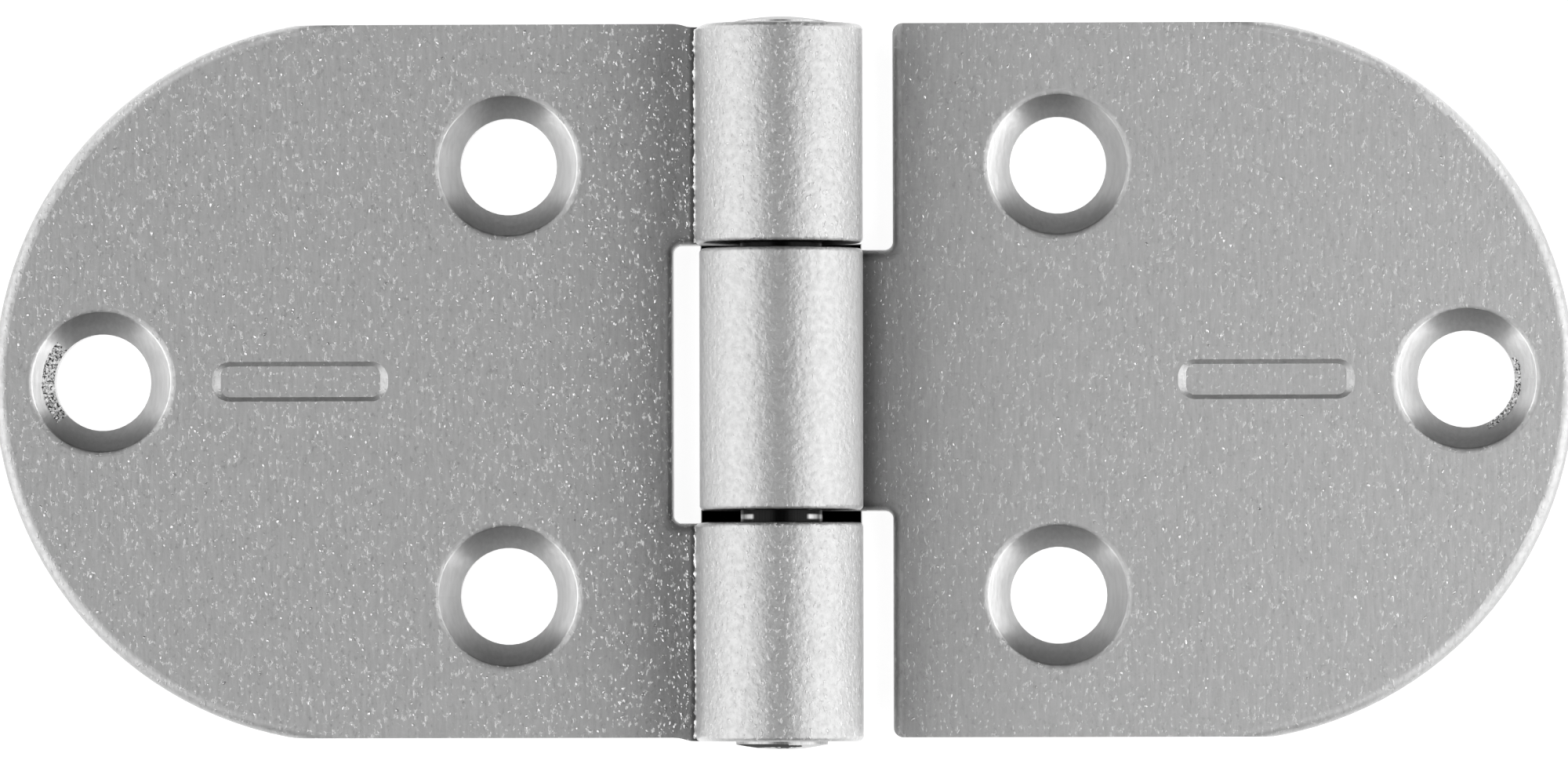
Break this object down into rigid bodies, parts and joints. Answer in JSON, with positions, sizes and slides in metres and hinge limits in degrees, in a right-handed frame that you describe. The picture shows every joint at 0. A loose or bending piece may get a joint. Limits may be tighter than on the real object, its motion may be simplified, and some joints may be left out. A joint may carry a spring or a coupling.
{
  "type": "leaf hinge",
  "caption": "Flat hinge with two round-ended sheet leaves rolled round a riveted pin, with countersunk screw holes, for a flap or lid.",
  "frame": {"origin": "on the mounting plane under the middle of the pin, with the hinge open flat and lying on its back", "axes": "+Z out of the leaves' fronts, +Y along the pin, +X from the pin towards the one-knuckle leaf"},
  "size_m": [0.0776, 0.0358, 0.008],
  "materials": {
    "silver_lacquer": "satin silver-grey metallic lacquer with a fine orange peel",
    "bright_steel": "bare drawn steel"
  },
  "bodies": {
    "fixed_leaf": {"two_knuckle_leaf": "silver_lacquer", "hinge_pin": "bright_steel"},
    "swinging_leaf": {"one_knuckle_leaf": "silver_lacquer"}
  },
  "joints": [
    {"name": "leaf_swing", "type": "hinge", "parent": "fixed_leaf", "child": "swinging_leaf", "pos_m": [0, 0, 0.004], "axis": [0, -1, 0], "range_deg": [-104, 184]}
  ]
}
